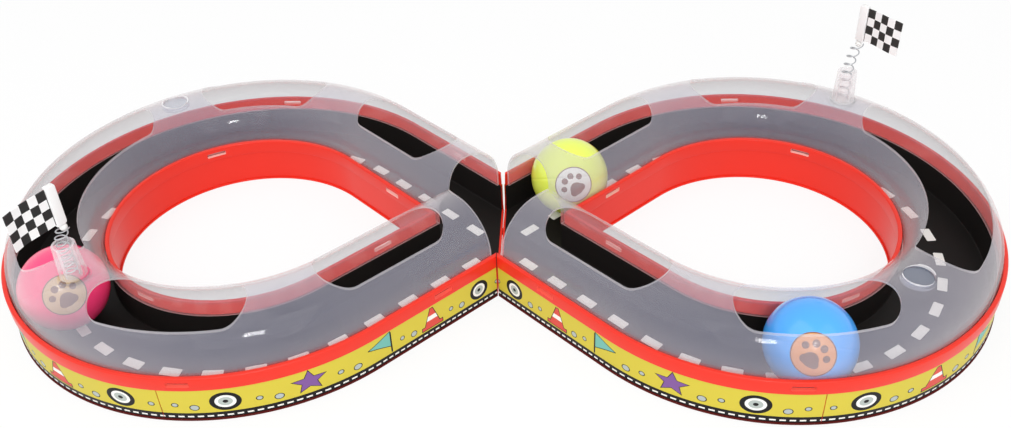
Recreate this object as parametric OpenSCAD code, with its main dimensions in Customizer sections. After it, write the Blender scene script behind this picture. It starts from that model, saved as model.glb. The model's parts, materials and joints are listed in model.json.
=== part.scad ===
// Cat ball track toy: a figure-8 race track for three balls, made of two mirrored loops.
// +Z is up, the track lies along X, and the origin is on the ground at the centre of the crossing.

/* [Loops] */
// Distance from the crossing to the middle of each round end
end_x = 128.5; // [122:0.5:140]
// Radius of the lane's centre line at the round ends
lane_r = 89; // [82:0.5:94]
// Gap between the two bases at the crossing
seam_gap = 0.4; // [0.2:0.1:0.8]
// Extra gap at the top of the far wall ends, each side
far_draft = 0.9; // [0.2:0.1:1.2]

/* [Channel] */
// Room beside a ball, up to the cover's skirt
side_room = 0.95; // [0.6:0.05:1.6]
// Room above a ball, up to the top of the arch
head_room = 2.95; // [2.5:0.05:5]
// Thickness of the red walls at the rim
wall_t = 2; // [1.6:0.1:2.1]
// Thickness of the red floor
floor_t = 1.6; // [1.2:0.1:2.5]
// Height of the proud band at the top of the walls
rim_h = 7; // [6:0.5:8]
// How far the band and the foot stand proud of the wall
rim_proud = 0.8; // [0.5:0.1:1]
// Height of the foot line under the labels
foot_h = 0.8; // [0.5:0.1:1.5]

/* [Latches and joints] */
// Length of the latch slots in the band
slot_l = 10; // [6:0.5:12]
// Height of the latch slots
slot_h = 2.4; // [1.5:0.1:3]
// Length of the tongues that lock the two floors together
tongue_l = 9; // [7:0.5:12]
// Radius of a tongue's round head
tongue_r = 3.5; // [2.5:0.1:4]

/* [Road liner] */
// Thickness of the black liner
liner_t = 1.1; // [0.8:0.1:1.2]
// Room between the liner and the red walls
liner_gap = 0.15; // [0.1:0.05:0.2]
// Length of a lane mark
dash_l = 9.5; // [6:0.5:13]
// Width of a lane mark
dash_w = 4.6; // [3:0.2:8]

/* [Covers] */
// Thickness of the clear cover
cover_t = 1.1; // [0.8:0.1:1.3]
// Room between the cover's skirt and the red walls
cover_gap = 0.35; // [0.3:0.05:0.45]
// Width of the arch that is left on each side of a window, seen from above
window_side = 8.05; // [7.5:0.05:11]
// How much wider than a window the circles are that round its ends, each side
window_nose = 1.5; // [0.5:0.1:3]
// Angle of the flag sockets from the track's long axis
socket_angle = 53.8; // [52:0.2:56]

/* [Balls] */
// Diameter of the balls
ball_d = 40; // [34:0.5:44]
// Wall of the hollow balls
ball_t = 0.9; // [0.6:0.1:1.5]

/* [Flags] */
// Length of a flag away from its pole
flag_l = 22; // [16:1:30]
// Height of a flag
flag_h = 18; // [14:1:24]
// How far the left flag's hem stands above the cover
left_lift = 27; // [26:0.5:32]
// How far the right flag's hem stands above the cover
right_lift = 34; // [26:0.5:40]
// How far the springs lean to the right at their tops, at rest
spring_lean = 3; // [0:0.25:3.5]
// Diameter of the spring wire
wire_d = 0.8; // [0.6:0.05:0.9]
// Radius of the spring's curls, to the middle of the wire
coil_r = 2.6; // [2.5:0.1:3]
// Number of curls in each spring
curls = 7; // [5:1:9]
// Radius of the flag cups' spigots, which plug into the covers
cup_r = 6.5; // [6.2:0.1:6.8]
// Outer radius of the flag cups just above the covers
cup_foot_r = 5.9; // [5.5:0.1:6.2]
// Outer radius of the flag cups at the top
cup_top_r = 5; // [4.9:0.1:5.4]
// Height of the flag cups
cup_h = 18.5; // [15:0.5:20]

/* [Hidden] */
$fn = 96;

// Overrun of every cut, and the reach of the block that trims at the seam
cut = 1;
reach = 4 * lane_r;

// The straight arms touch the round end where the tangent from the crossing meets it
arm_angle = asin(lane_r / end_x);
arm_l = end_x * cos(arm_angle);
end_sweep = 90 + arm_angle;

// Cross-section, as offsets from the lane's centre line: from the balls out to the rims
skirt_in = ball_d / 2 + side_room;
skirt_out = skirt_in + cover_t;
wall_in = skirt_out + cover_gap;
rim_half_w = wall_in + wall_t;
wall_out = rim_half_w - rim_proud;
liner_out = wall_in - liner_gap;
liner_in = liner_out - liner_t;
arm_past = rim_half_w * tan(arm_angle) + cut;

// Heights: the floor, the balls on the lane marks, the walls and the arch
dash_t = 0.2;
ball_seat = 0.1;
liner_floor_z = floor_t + liner_t;
ball_z = liner_floor_z + dash_t + ball_seat + ball_d / 2;
wall_h = ball_z + ball_d / 2 + head_room - skirt_in;
band_z = wall_h - rim_h;
arch_top_z = wall_h + skirt_out;

// Latch slots in the band, and the cover's snap beads that sit in them
slot_z = wall_h - rim_h / 2;
slot_arm_s = 55.5;
slot_outer_angle = 90;
slot_inner_angle = 62;
bead_l = slot_l - 2 * cover_gap;
bead_h = slot_h - 2 * cover_gap;
bead_proud = 0.2;

// Lip at the seam, and the tongues with the room round them
lip_w = 1;
tongue_y = 15;
tongue_neck = 4;
tongue_fit = 0.15;

// Lane marks
arm_dashes = 4;
end_dashes = 22;
arm_pitch_share = 0.2125;
end_pitch_share = 0.0925;
arm_pitch = arm_l * arm_pitch_share;
end_pitch = end_sweep * end_pitch_share;

// Printed labels, held by a thin layer of glue
label_t = 0.25;
glue_t = 0.1;
label_edge = 0.25;
label_seam = 0.3;
label_seam_angle = 84.8;

// Windows in the covers, by angle round the ends and by distance along the arms
window_foot_z = wall_h + rim_h;
window_half_w = skirt_out - window_side;
window_round_r = window_half_w + window_nose;
window_mid_w = (window_half_w + window_round_r) / 2;
end_window_angle = 44.3;
side_window_angles = [63.5, 107.5];
arm_window_s = [38.5, 103.6];

// Where the covers end beside the crossing, measured along each arm
mouth_s = rim_half_w;

// Flag sockets: round wells let into the top of the covers, each with a floor and a flat rim
socket_drop = 3.4;
socket_floor_t = 1;
socket_wall_t = 0.75;
socket_rim_w = 0.5;
socket_rim_drop = 0.45;
cup_fit = 0.08;
socket_bore_r = cup_r + cup_fit;
socket_r = socket_bore_r + socket_wall_t;
socket_low_z = arch_top_z - socket_drop;
socket_floor_z = socket_low_z + socket_floor_t;
socket_rim_z = arch_top_z - socket_rim_drop;

// Flag cups, springs, plugs and poles
cup_t = 1.2;
cup_floor_t = 1.4;
spring_foot_z = socket_floor_z + cup_floor_t;
cup_mouth_z = socket_floor_z + cup_h;
curl_rings = 8;
tube_sides = 6;
plug_gap = 0.3;
plug_r = coil_r * cos(180 / curl_rings) - wire_d / 2 - plug_gap;
hem_foot = 1.6;
hem_r = 2;
hem_over = 1;
pole_r = 1.1;
pole_fit = 0.05;
panel_t = 0.5;
left_panel_angle = -122;
right_panel_angle = -50;

// Places of the balls: angles round the ends, and a distance along the far right arm
pink_angle = -37.5;
blue_angle = -85.4;
yellow_s = 48.3;

// A rectangle between two corners, for the sections below: across from the centre line, and up
module rect(x0, x1, y0, y1) {
    translate([x0, y0])
        square([x1 - x0, y1 - y0]);
}

// A section swept along the near arm from past the crossing, then round the end up to an angle.
// It is drawn with the arm along X, so that the arm and the round end meet exactly.
module path(to) {
    rotate([0, 0, -arm_angle]) {
        translate([arm_l, 0, 0])
            rotate([90, 0, -90])
                linear_extrude(height = arm_l + arm_past)
                    children();
        translate([arm_l, lane_r, 0])
            rotate([0, 0, -90])
                rotate_extrude(angle = end_sweep + to, $fn = 180)
                    translate([lane_r, 0])
                        children();
    }
}

// The near half of the right loop: the path trimmed beside the seam and on the long axis
module near_half(x0) {
    intersection() {
        path(cut) children();
        translate([x0, -reach, -reach])
            cube([2 * reach, reach, 2 * reach]);
    }
}

// A near half and its reflection
module both_halves() {
    children();
    mirror([0, 1, 0]) children();
}

// A section swept round the end between two angles
module round_end(from, to) {
    translate([end_x, 0, 0])
        rotate([0, 0, from])
            rotate_extrude(angle = to - from, $fn = 180)
                translate([lane_r, 0])
                    children();
}

// A place on the centre line of the round end, turned to face outwards
module at_end(angle) {
    translate([end_x, 0, 0])
        rotate([0, 0, angle])
            translate([lane_r, 0, 0])
                children();
}

// A place on the near arm, with X along the arm and -Y outwards; side -1 gives the far arm
module at_arm(s, side) {
    mirror([0, side < 0 ? 1 : 0, 0])
        rotate([0, 0, -arm_angle])
            translate([s, 0, 0])
                children();
}

// A short block that follows the round end, by length at the centre line
module end_block(angle, length, off, z) {
    half = length / (lane_r + off[0]) * 90 / PI;
    round_end(angle - half, angle + half)
        rect(off[0], off[1], z[0], z[1]);
}

// A short block along an arm; off is measured outwards
module arm_block(s, side, length, off, z) {
    at_arm(s, side)
        translate([-length / 2, -off[1], z[0]])
            cube([length, off[1] - off[0], z[1] - z[0]]);
}

// The four latch places of a near half, as blocks that reach through a wall or stand on the skirt
module latches(length, outer, inner, z) {
    end_block(-slot_outer_angle, length, outer, z);
    end_block(-slot_inner_angle, length, inner, z);
    arm_block(slot_arm_s, 1, length, outer, z);
    arm_block(slot_arm_s, 1, length, inner, z);
}

// The red channel's section: floor, two walls, the band at the top and the foot line
module base_section() {
    difference() {
        union() {
            rect(-wall_out, wall_out, 0, wall_h);
            rect(-rim_half_w, rim_half_w, band_z, wall_h);
            rect(-rim_half_w, rim_half_w, 0, foot_h);
        }
        rect(-wall_in, wall_in, floor_t, wall_h + cut);
    }
}

// The red channel of the right loop, with an open crossing, a lip at the seam and its latch slots
module base() {
    lip_y = (wall_in + rim_proud) / cos(arm_angle);
    difference() {
        both_halves()
            difference() {
                union() {
                    near_half(seam_gap / 2) base_section();
                    translate([seam_gap / 2, -lip_y, 0])
                        cube([lip_w, lip_y, liner_floor_z]);
                }
                latches(slot_l, [wall_in - cut, rim_half_w + cut], [-rim_half_w - cut, cut - wall_in],
                        [slot_z - slot_h / 2, slot_z + slot_h / 2]);
            }
        far_wedge();
    }
}

// The far wall end leans away from the seam
module far_wedge() {
    translate([seam_gap / 2, reach, 0])
        rotate([90, 0, 0])
            linear_extrude(height = reach - wall_in)
                polygon([[-cut, floor_t], [0, floor_t], [far_draft, wall_h + cut], [-cut, wall_h + cut]]);
}

// A round-headed tongue in the floor's thickness, with room round it where it is a socket
module tongue(y, room, z) {
    translate([-lip_w, y - tongue_neck / 2 - room, z[0]])
        cube([lip_w + tongue_l - tongue_r, tongue_neck + 2 * room, z[1] - z[0]]);
    translate([tongue_l - tongue_r, y, z[0]])
        cylinder(r = tongue_r + room, h = z[1] - z[0]);
}

module left_base() {
    color("#ee3b2b") {
        mirror([1, 0, 0]) base();
        for (side = [-1, 1])
            tongue(side * tongue_y, 0, [0, floor_t]);
    }
}

module right_base() {
    color("#ee3b2b")
        difference() {
            base();
            for (side = [-1, 1])
                tongue(side * tongue_y, tongue_fit, [-cut, floor_t]);
        }
}

// The black road liner: a thin U that lies in the channel up to the band
module liner() {
    color("#1d1a1a")
        both_halves()
            near_half(seam_gap / 2 + lip_w + liner_gap)
                difference() {
                    rect(-liner_out, liner_out, floor_t, band_z);
                    rect(-liner_in, liner_in, liner_floor_z, band_z + cut);
                }
}

module left_liner() { mirror([1, 0, 0]) liner(); }
module right_liner() { liner(); }

// White lane marks along both arms and round the end
module lane_dashes() {
    z = [liner_floor_z, liner_floor_z + dash_t];
    off = [-dash_w / 2, dash_w / 2];
    color("#f6f4ee") {
        for (i = [1:arm_dashes], side = [-1, 1])
            arm_block(i * arm_pitch, side, dash_l, off, z);
        for (i = [0:end_dashes - 1])
            end_block(end_pitch * (i - (end_dashes - 1) / 2), dash_l, off, z);
    }
}

module left_lane_dashes() { mirror([1, 0, 0]) lane_dashes(); }
module right_lane_dashes() { lane_dashes(); }

// Printed strips glued on the outer wall, between the foot line and the band
module label_section() {
    rect(wall_out + glue_t, wall_out + glue_t + label_t, foot_h + label_edge, band_z - label_edge);
}

module label_near() {
    color("#dccb4c")
        intersection() {
            path(-label_seam_angle - label_seam / 2 / lane_r * 180 / PI) label_section();
            translate([seam_gap / 2 + label_edge, -reach, -reach])
                cube([2 * reach, reach, 2 * reach]);
        }
}

module label_end() {
    color("#dccb4c")
        round_end(-label_seam_angle, label_seam_angle) label_section();
}

module left_label_near() { mirror([1, 0, 0]) label_near(); }
module left_label_end() { mirror([1, 0, 0]) label_end(); }
module left_label_far() { mirror([1, 0, 0]) mirror([0, 1, 0]) label_near(); }
module right_label_near() { label_near(); }
module right_label_end() { label_end(); }
module right_label_far() { mirror([0, 1, 0]) label_near(); }

// A window cut down through the arch round the end, from one tip angle to the other: a band whose
// ends are rounded by circles wider than the band
module end_window(from, to) {
    round = window_round_r / lane_r * 180 / PI;
    z = [window_foot_z, arch_top_z + cut];
    intersection() {
        round_end(from - cut, to + cut)
            rect(-window_half_w, window_half_w, z[0], z[1]);
        union() {
            round_end(from + round, to - round)
                rect(-window_mid_w, window_mid_w, z[0] - cut, z[1] + cut);
            for (angle = [from + round, to - round])
                at_end(angle)
                    translate([0, 0, z[0] - cut])
                        cylinder(r = window_round_r, h = z[1] - z[0] + 2 * cut);
        }
    }
}

// The same window along the near arm, from one tip to the other
module arm_window(from, to) {
    z = [window_foot_z, arch_top_z + cut];
    mid = (from + to) / 2;
    intersection() {
        arm_block(mid, 1, to - from + 2 * cut, [-window_half_w, window_half_w], z);
        union() {
            arm_block(mid, 1, to - from - 2 * window_round_r, [-window_mid_w, window_mid_w],
                      [z[0] - cut, z[1] + cut]);
            for (s = [from + window_round_r, to - window_round_r])
                at_arm(s, 1)
                    translate([0, 0, z[0] - cut])
                        cylinder(r = window_round_r, h = z[1] - z[0] + 2 * cut);
        }
    }
}

// The open mouth at the crossing: square to each arm outside, round inside
module mouth() {
    x = mouth_s * cos(arm_angle);
    y = mouth_s * sin(arm_angle);
    tip = mouth_s / sin(arm_angle);
    linear_extrude(height = arch_top_z + cut) {
        circle(r = mouth_s);
        polygon([[0, tip], [x, y], [x, -y], [0, -tip], [-x, -y], [-x, y]]);
    }
}

// The cover's section: a half-round arch on a skirt
module cover_section() {
    difference() {
        union() {
            intersection() {
                translate([0, wall_h]) circle(r = skirt_out);
                rect(-skirt_out - cut, skirt_out + cut, wall_h, arch_top_z + cut);
            }
            rect(-skirt_out, skirt_out, band_z, wall_h);
        }
        translate([0, wall_h]) circle(r = skirt_in);
        rect(-skirt_in, skirt_in, band_z - cut, wall_h);
    }
}

// The well of a flag socket: a round plug that ends inside the thickness of the arch
module socket_well() {
    spread = 2 * socket_r / lane_r * 180 / PI;
    intersection() {
        round_end(-socket_angle - spread, -socket_angle + spread)
            translate([0, wall_h])
                circle(r = (skirt_in + skirt_out) / 2);
        at_end(-socket_angle)
            translate([0, 0, socket_low_z])
                cylinder(r = socket_r, h = socket_drop);
    }
}

// The near half of a cover, standing on the liner's edge inside the band
module near_cover() {
    difference() {
        union() {
            near_half(seam_gap / 2) cover_section();
            socket_well();
            latches(bead_l, [skirt_out - cover_t / 2, skirt_out + bead_proud],
                    [-skirt_out - bead_proud, cover_t / 2 - skirt_out],
                    [slot_z - bead_h / 2, slot_z + bead_h / 2]);
        }
        at_end(-socket_angle) {
            translate([0, 0, socket_floor_z])
                cylinder(r = socket_bore_r, h = socket_drop);
            translate([0, 0, socket_rim_z])
                cylinder(r = socket_bore_r + socket_rim_w, h = socket_drop);
        }
        mouth();
        end_window(-end_window_angle, end_window_angle);
        end_window(-side_window_angles[1], -side_window_angles[0]);
        arm_window(arm_window_s[0], arm_window_s[1]);
    }
}

module cover() {
    color("#c9cdd6", 0.5)
        both_halves() near_cover();
}

module left_cover() { mirror([1, 0, 0]) cover(); }
module right_cover() { cover(); }

// Where each flag stands: the left one near, the right one far
module at_left_flag() {
    translate([-end_x - lane_r * cos(socket_angle), -lane_r * sin(socket_angle), 0]) children();
}

module at_right_flag() {
    translate([end_x + lane_r * cos(socket_angle), lane_r * sin(socket_angle), 0]) children();
}

// A clear cup that plugs into a socket of the cover and narrows above it
module cup() {
    spigot_h = socket_rim_z - socket_floor_z;
    color("#dfe3ea", 0.6)
        translate([0, 0, socket_floor_z])
            difference() {
                union() {
                    cylinder(r = cup_r, h = spigot_h);
                    translate([0, 0, spigot_h])
                        cylinder(r1 = cup_foot_r, r2 = cup_top_r, h = cup_h - spigot_h);
                }
                translate([0, 0, cup_floor_t])
                    cylinder(r = cup_top_r - cup_t, h = cup_h);
            }
}

module left_flag_cup() { at_left_flag() cup(); }
module right_flag_cup() { at_right_flag() cup(); }

// Height of the point where a flag pivots on its spring
function pivot_z(lift) = arch_top_z + lift - hem_foot;

// How far a spring leans at a height: not at all inside the cup, then more and more
function lean_at(z, lift) =
    spring_lean * pow(max(0, z - cup_mouth_z) / (pivot_z(lift) - cup_mouth_z), 2);

// The middle line of a spring: angle, height and lean of each ring, straight at both ends
function spring_rings(lift) = let (
    low = spring_foot_z + wire_d,
    high = pivot_z(lift) - wire_d,
    last = curls * curl_rings
) concat(
    [[0, spring_foot_z, 0]],
    [for (i = [0:last]) let (z = low + (high - low) * i / last)
        [i * 360 / curl_rings, z, lean_at(z, lift)]],
    [[curls * 360, pivot_z(lift), spring_lean]]
);

function ring_point(ring) = [coil_r * cos(ring[0]) + ring[2], coil_r * sin(ring[0]), ring[1]];

// The least distance between two passes of the wire, less its thickness
function least_gap(rings) = min([
    for (i = [1:len(rings) - 2], j = [i + curl_rings / 2:len(rings) - 2])
        if (j > i) norm(ring_point(rings[i]) - ring_point(rings[j])) - wire_d
]);

// One unbroken round wire, wound in curls
module spring(lift) {
    rings = spring_rings(lift);
    last = len(rings) - 1;
    points = [for (i = [0:last]) ring_point(rings[i])];
    faces_round = [for (i = [0:last - 1], k = [0:tube_sides - 1], half = [0, 1]) let (
        n = (k + 1) % tube_sides,
        a = i * tube_sides + k,
        b = i * tube_sides + n,
        c = a + tube_sides,
        d = b + tube_sides
    ) half == 0 ? [a, c, b] : [b, c, d]];
    faces_end = [for (k = [1:tube_sides - 2], end = [0, last]) let (
        o = end * tube_sides
    ) end == 0 ? [o, o + k, o + k + 1] : [o, o + k + 1, o + k]];
    skin = [for (i = [0:last], k = [0:tube_sides - 1]) let (
        way = points[min(i + 1, last)] - points[max(i - 1, 0)],
        along = way / norm(way),
        side = cross(along, [cos(rings[i][0]), sin(rings[i][0]), 0]),
        up = side / norm(side),
        out = cross(up, along),
        turn = k * 360 / tube_sides
    ) points[i] + wire_d / 2 * (cos(turn) * out + sin(turn) * up)];
    echo(str("least gap of a spring to itself, mm: ", least_gap(rings)));
    color("#b9bcc2")
        polyhedron(points = skin, faces = concat(faces_round, faces_end), convexity = 8);
}

module left_flag_spring() { at_left_flag() spring(left_lift); }
module right_flag_spring() { at_right_flag() spring(right_lift); }

// A round plug in the spring's top curl, on which the pole pivots
module plug(lift) {
    color("#e9e9e6")
        translate([spring_lean, 0, pivot_z(lift)])
            sphere(r = plug_r);
}

module left_flag_plug() { at_left_flag() plug(left_lift); }
module right_flag_plug() { at_right_flag() plug(right_lift); }

// The stick inside the flag's hem
module pole(lift) {
    foot = plug_r + plug_gap;
    color("#f2f2ee")
        translate([spring_lean, 0, pivot_z(lift) + foot])
            cylinder(r = pole_r, h = hem_foot - foot + flag_h + 2 * hem_over);
}

module left_flag_pole() { at_left_flag() pole(left_lift); }
module right_flag_pole() { at_right_flag() pole(right_lift); }

// The flag: a thin panel with a round hem that slides over the stick
module panel(lift, angle) {
    hem_h = flag_h + 2 * hem_over;
    color("#fafafa")
        translate([spring_lean, 0, pivot_z(lift) + hem_foot])
            rotate([0, 0, angle])
                difference() {
                    union() {
                        cylinder(r = hem_r, h = hem_h);
                        translate([0, -panel_t / 2, hem_over])
                            cube([flag_l, panel_t, flag_h]);
                    }
                    translate([0, 0, -cut])
                        cylinder(r = pole_r + pole_fit, h = hem_h + 2 * cut);
                }
}

module left_flag_panel() { at_left_flag() panel(left_lift, left_panel_angle); }
module right_flag_panel() { at_right_flag() panel(right_lift, right_panel_angle); }

// A hollow plastic ball
module ball() {
    translate([0, 0, ball_z])
        difference() {
            sphere(r = ball_d / 2);
            sphere(r = ball_d / 2 - ball_t);
        }
}

module pink_ball() { color("#ff4f86") mirror([1, 0, 0]) at_end(pink_angle) ball(); }
module yellow_ball() { color("#dff05a") at_arm(yellow_s, -1) ball(); }
module blue_ball() { color("#4aa8f5") at_end(blue_angle) ball(); }

left_base();
left_liner();
left_lane_dashes();
left_label_near();
left_label_end();
left_label_far();
right_base();
right_liner();
right_lane_dashes();
right_label_near();
right_label_end();
right_label_far();
left_cover();
left_flag_cup();
left_flag_spring();
left_flag_plug();
left_flag_pole();
left_flag_panel();
right_cover();
right_flag_cup();
right_flag_spring();
right_flag_plug();
right_flag_pole();
right_flag_panel();
pink_ball();
yellow_ball();
blue_ball();
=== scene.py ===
import json
import math

import bmesh
import bpy
from mathutils import Matrix, Vector


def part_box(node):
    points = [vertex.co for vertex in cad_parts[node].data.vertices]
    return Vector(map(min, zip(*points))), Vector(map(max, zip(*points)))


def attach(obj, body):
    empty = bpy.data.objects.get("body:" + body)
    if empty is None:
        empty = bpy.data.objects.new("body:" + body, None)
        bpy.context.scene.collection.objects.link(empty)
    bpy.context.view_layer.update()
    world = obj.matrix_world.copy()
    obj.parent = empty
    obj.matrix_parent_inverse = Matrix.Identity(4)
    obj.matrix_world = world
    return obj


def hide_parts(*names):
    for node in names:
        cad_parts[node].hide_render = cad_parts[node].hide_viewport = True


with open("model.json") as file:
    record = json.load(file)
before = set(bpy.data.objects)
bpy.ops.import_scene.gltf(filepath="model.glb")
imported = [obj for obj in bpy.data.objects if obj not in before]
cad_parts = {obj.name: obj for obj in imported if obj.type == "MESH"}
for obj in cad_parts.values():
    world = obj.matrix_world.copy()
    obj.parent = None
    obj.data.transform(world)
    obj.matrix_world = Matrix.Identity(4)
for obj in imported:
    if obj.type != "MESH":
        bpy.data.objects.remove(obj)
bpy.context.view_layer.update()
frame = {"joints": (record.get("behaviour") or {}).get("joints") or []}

# Red bases. Two channels injection-moulded in glossy red ABS, each one a teardrop loop with a floor,
# two walls, a proud band along the rim and a foot line. They lie side by side at the crossing, and
# the left floor's round tongues lock into sockets in the right floor.
mm = 0.001
doubles = 0.005 * mm


def joint_place(name):
    """Where a joint of the frame stands."""
    return next(joint["pos_m"] for joint in frame["joints"] if joint["name"] == name)


end_x = joint_place("blue_ball_run")[0]
blue_low, blue_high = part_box("blue_ball")
ball_centre = (blue_low + blue_high) / 2
lane_r = math.hypot(ball_centre.x - end_x, ball_centre.y)
arm_angle = math.asin(lane_r / end_x)
arm_l = end_x * math.cos(arm_angle)
end_sweep = math.pi / 2 + arm_angle
lane_l = 2 * (arm_l + lane_r * end_sweep)
end_steps = 72

seam_gap = 0.4 * mm
far_draft = 0.9 * mm
rim_half_w = 24.4 * mm
wall_h = 25 * mm
wall_t = 2 * mm
floor_t = 1.6 * mm
rim_h = 7 * mm
rim_proud = 0.8 * mm
foot_h = 0.8 * mm
wall_out = rim_half_w - rim_proud
wall_in = rim_half_w - wall_t
band_z = wall_h - rim_h
rim_round = 0.7 * mm
edge_round = 0.25 * mm
lip_w = 1 * mm
lip_low = 0.8 * mm
lip_h = 2.7 * mm
lip_y = 2 * (wall_in + rim_proud) / math.cos(arm_angle)
slot_l = 10 * mm
slot_h = 2.4 * mm
slot_z = wall_h - rim_h / 2
slot_round = 0.5 * mm
slot_end_angle = 90
slot_hole_angle = 62
slot_arm_s = 55.5 * mm
tongue_l = 9 * mm
tongue_r = 3.5 * mm
tongue_y = 15 * mm
tongue_neck = 4 * mm
tongue_fit = 0.15 * mm
tongue_t = 0.98 * floor_t
tongue_facets = 48
cut = 1 * mm
underside = -0.5


def select_none():
    """Leaves nothing selected, so that the next primitive is the only thing that is."""
    bpy.ops.object.select_all(action="DESELECT")


def select_whole():
    """Selects all of the piece being edited."""
    bpy.ops.mesh.select_all(action="SELECT")


def take(piece):
    """Makes a piece the active one and the only one selected."""
    select_none()
    piece.select_set(True)
    bpy.context.view_layer.objects.active = piece


def name_piece(piece, name):
    """Gives a piece and its mesh a name."""
    piece.name = name
    piece.data.name = name
    return piece


def settle():
    """Puts the active piece's place, turn and size into its mesh."""
    bpy.ops.object.transform_apply(location=True, rotation=True, scale=True)
    return bpy.context.object


def edit(piece):
    """Opens a piece for editing."""
    take(piece)
    bpy.ops.object.mode_set(mode="EDIT")


def leave():
    """Ends editing."""
    bpy.ops.object.mode_set(mode="OBJECT")


def pick(piece, kind, test):
    """Selects the vertices, edges or faces of the piece being edited that pass a test."""
    bpy.context.tool_settings.mesh_select_mode = (kind == "verts", kind == "edges", kind == "faces")
    bpy.ops.mesh.select_all(action="DESELECT")
    open_mesh = bmesh.from_edit_mesh(piece.data)
    for element in getattr(open_mesh, kind):
        if test(element):
            element.select_set(True)
    open_mesh.select_flush_mode()
    bmesh.update_edit_mesh(piece.data)


def run(edge):
    """The way from one end of an edge to the other."""
    return edge.verts[0].co - edge.verts[1].co


def extrude(move):
    """Extrudes what is selected and moves it on."""
    bpy.ops.mesh.extrude_region_move(TRANSFORM_OT_translate={"value": move})


def resize(shares, centre=(0, 0, 0)):
    """Resizes what is selected about a point."""
    bpy.ops.transform.resize(value=shares, center_override=centre)


def apply_modifier(piece, name, kind, **settings):
    """Puts one modifier on a piece and applies it."""
    modifier = piece.modifiers.new(name, kind)
    for key, value in settings.items():
        setattr(modifier, key, value)
    take(piece)
    bpy.ops.object.modifier_apply(modifier=modifier.name)


def carve(piece, tool, operation="DIFFERENCE"):
    """Cuts a closed tool out of a piece, or joins it on, and clears the tool away."""
    apply_modifier(piece, "carve", "BOOLEAN", object=tool, operation=operation, solver="EXACT",
                   material_mode="TRANSFER")
    bpy.data.objects.remove(tool)


def join(name, parts):
    """Joins several objects into one."""
    take(parts[0])
    for part in parts:
        part.select_set(True)
    bpy.ops.object.join()
    return name_piece(bpy.context.object, name)


def one_point(name):
    """A piece that is a single point at the origin, open for editing, to be drawn on from there."""
    select_none()
    bpy.ops.mesh.primitive_plane_add(size=mm)
    piece = name_piece(bpy.context.object, name)
    edit(piece)
    bpy.ops.mesh.merge(type="CENTER")
    return piece


def draw_section(name, corners):
    """Draws a closed section point by point, standing across the lane at the outer end of the right
    loop. A corner is its offset outwards, its height, and the radius that rounds it."""
    points = [Vector((end_x + lane_r + out, 0, up)) for out, up, radius in corners]
    piece = one_point(name)
    bpy.ops.transform.translate(value=points[0])
    for here, there in zip(points, points[1:] + points[:1]):
        extrude(there - here)
    select_whole()
    bpy.ops.mesh.remove_doubles(threshold=doubles)
    for round_r in sorted({radius for out, up, radius in corners if radius}):
        rounded = [point for point, corner in zip(points, corners) if corner[2] == round_r]
        pick(piece, "verts", lambda vertex: any((vertex.co - point).length < doubles for point in rounded))
        bpy.ops.mesh.bevel(affect="VERTICES", offset=round_r, segments=4)
    return piece


def sweep_half(piece):
    """Sweeps what is drawn at the outer end round the near half of the end and on along the near
    arm, past the crossing, and trims it along the long axis."""
    past = rim_half_w * math.tan(arm_angle) + cut
    select_whole()
    bpy.ops.mesh.spin(steps=end_steps, angle=end_sweep, center=(end_x, 0, 0), axis=(0, 0, 1))
    extrude(Vector((-math.cos(arm_angle), math.sin(arm_angle), 0)) * (arm_l + past))
    select_whole()
    bpy.ops.mesh.bisect(plane_co=(0, 0, 0), plane_no=(0, 1, 0), clear_outer=True, threshold=doubles)
    leave()


def turn_outwards(piece):
    """Turns every face of a piece outwards."""
    edit(piece)
    select_whole()
    bpy.ops.mesh.normals_make_consistent(inside=False)
    leave()


def reflect_half(piece):
    """Adds the far half of a loop and merges the two along the long axis."""
    apply_modifier(piece, "far half", "MIRROR", use_axis=(False, True, False), merge_threshold=doubles)
    edit(piece)
    select_whole()
    bpy.ops.mesh.remove_doubles(threshold=doubles)
    leave()
    turn_outwards(piece)


def trim(piece, x, close=True):
    """Cuts a loop off square beside the seam, and closes the cut of a solid one."""
    edit(piece)
    select_whole()
    bpy.ops.mesh.bisect(plane_co=(x, 0, 0), plane_no=(1, 0, 0), use_fill=close, clear_inner=True,
                        threshold=doubles)
    leave()


def tidy_faces(piece, angle=30):
    """Turns every face outwards and shades the piece smooth between its edges."""
    turn_outwards(piece)
    bpy.ops.object.shade_smooth_by_angle(angle=math.radians(angle))


def mirror_left(piece):
    """Copies a piece of the right loop to the left one."""
    take(piece)
    bpy.ops.object.duplicate()
    copy = name_piece(bpy.context.object, piece.name.replace("right", "left"))
    resize((-1, 1, 1))
    settle()
    turn_outwards(copy)
    return copy


def block(size, centre):
    """A block at its size and place."""
    select_none()
    bpy.ops.mesh.primitive_cube_add(size=1, location=centre, scale=size)
    return settle()


def rod(radius, low, high, facets, place=(0, 0)):
    """An upright round rod from one height to another."""
    select_none()
    bpy.ops.mesh.primitive_cylinder_add(vertices=facets, radius=radius, depth=high - low,
                                        location=(*place, (high + low) / 2))
    return settle()


def at_angle(degrees):
    """Distance travelled round a loop from the crossing to an angle of its round end."""
    return lane_l / 2 + lane_r * math.radians(degrees)


def station(travel):
    """A place on the lane's centre line: X outwards, Y along the travel and Z up."""
    beyond = travel - lane_l / 2
    side = 1 if beyond > 0 else -1
    if abs(beyond) <= lane_r * end_sweep:
        turn = Matrix.Rotation(beyond / lane_r, 4, "Z")
        return Matrix.Translation((end_x, 0, 0)) @ turn @ Matrix.Translation((lane_r, 0, 0))
    along = lane_l / 2 - abs(beyond)
    place = Vector((along * math.cos(arm_angle), side * along * math.sin(arm_angle), 0))
    return Matrix.Translation(place) @ Matrix.Rotation(side * end_sweep, 4, "Z")


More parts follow.
